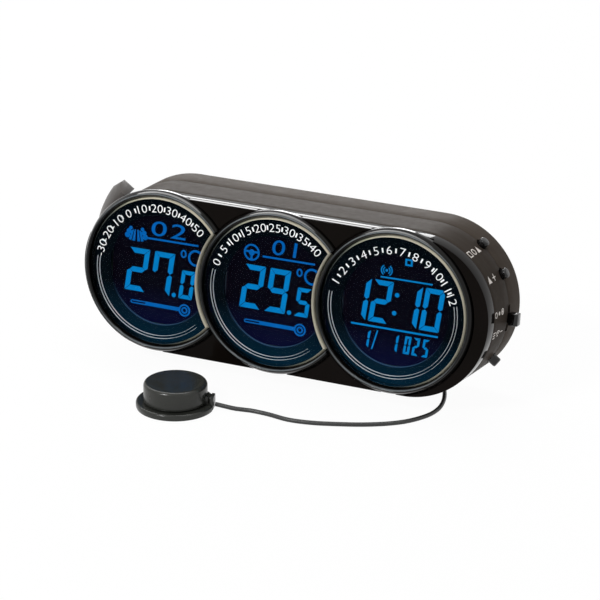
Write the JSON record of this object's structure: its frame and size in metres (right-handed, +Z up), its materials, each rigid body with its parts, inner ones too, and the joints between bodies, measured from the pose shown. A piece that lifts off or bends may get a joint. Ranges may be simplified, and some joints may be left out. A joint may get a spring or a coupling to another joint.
{
  "type": "radio-controlled clock",
  "caption": "Obround tabletop clock with overlapping round lit displays, side buttons, a tilting stand and an outside sensor on a thin lead.",
  "frame": {"origin": "on the surface it stands on, under the middle of the clock and its stand, without the sensor lead", "axes": "+X along the row of displays to the clock's right end as seen from the front, -Y out of the displays, +Z up"},
  "size_m": [0.1292, 0.1105, 0.0502],
  "materials": {
    "gloss_black": "high gloss moulding",
    "satin_case": "satin dark warm grey",
    "rear_grey": "satin warm grey",
    "lens_tint": "clear tinted lens with a bright bevel",
    "print_black": "black print",
    "display_blue": "lit negative display",
    "clear_guide": "clear moulding",
    "board_green": "lacquered board",
    "part_black": "plain",
    "stand_steel": "satin paint",
    "steel": "plated",
    "ferrite": "sintered",
    "copper": "enamelled wire",
    "cell_skin": "printed sleeve",
    "rubber": "matte",
    "sensor_plastic": "glossy dark green black",
    "lead_skin": "satin flexible sleeve"
  },
  "bodies": {
    "clock": {"front_shell": "satin_case", "front_panel": "gloss_black", "rim_left": "gloss_black", "lens_left": "lens_tint", "dial_ring_left": "print_black", "display_left": "display_blue", "contact_strip_left": "rubber", "rim_middle": "gloss_black", "lens_middle": "lens_tint", "dial_ring_middle": "print_black", "display_middle": "display_blue", "contact_strip_middle": "rubber", "rim_right": "gloss_black", "lens_right": "lens_tint", "dial_ring_right": "print_black", "display_right": "display_blue", "contact_strip_right": "rubber", "light_guide": "clear_guide", "back_led_left": "clear_guide", "back_led_right": "clear_guide", "main_board": "board_green", "clock_chip": "part_black", "key_board": "board_green", "key_switch_mode": "part_black", "key_switch_up": "part_black", "key_switch_set": "part_black", "slide_switch": "steel", "back_shell": "rear_grey", "battery_1": "cell_skin", "battery_2": "cell_skin", "battery_contact_1": "steel", "battery_contact_2": "steel", "case_screw_1": "steel", "case_screw_2": "steel", "case_screw_3": "steel", "case_screw_4": "steel", "receiver_board": "board_green", "ferrite_rod": "ferrite", "aerial_winding": "copper", "room_thermistor": "part_black", "cable_gland": "rubber", "pivot_pin": "steel", "pivot_nut": "steel", "sensor_cap": "sensor_plastic", "sensor_base": "sensor_plastic", "sensor_clamp": "sensor_plastic", "sensor_bead": "part_black", "lead_case": "lead_skin", "lead_sensor": "lead_skin", "lead_coil": "lead_skin", "coil_tie": "rubber"},
    "stand": {"stand_arm": "satin_case", "stand_base": "stand_steel", "stand_foot": "rubber", "friction_washer": "part_black"},
    "mode_button": {"button_mode": "gloss_black"},
    "up_button": {"button_up": "gloss_black"},
    "set_button": {"button_set": "gloss_black"},
    "switch_knob": {"slide_knob": "gloss_black"},
    "door": {"battery_door": "rear_grey"}
  },
  "joints": [
    {"name": "tilt", "type": "hinge", "parent": "clock", "child": "stand", "pos_m": [-0.05852, -0.00424, 0.02565], "axis": [1, 0, 0], "range_deg": [-10, 5]},
    {"name": "press_mode", "type": "slide", "parent": "clock", "child": "mode_button", "axis": [-0.6018, -0.0962, -0.7928], "range_m": [0, 0.0005], "stiffness_N_per_m": 1500},
    {"name": "press_up", "type": "slide", "parent": "clock", "child": "up_button", "axis": [-0.8788, -0.0575, -0.4737], "range_m": [0, 0.0005], "stiffness_N_per_m": 1500},
    {"name": "press_set", "type": "slide", "parent": "clock", "child": "set_button", "axis": [-0.829, 0.0674, 0.5551], "range_m": [0, 0.0005], "stiffness_N_per_m": 1500},
    {"name": "slide_select", "type": "slide", "parent": "clock", "child": "switch_knob", "axis": [0, 0.1205, 0.9927], "range_m": [-0.0022, 0.0022]},
    {"name": "door_open", "type": "hinge", "parent": "clock", "child": "door", "pos_m": [-0.00232, 0.00381, 0.01395], "axis": [-1, 0, 0], "range_deg": [0, 100]}
  ]
}
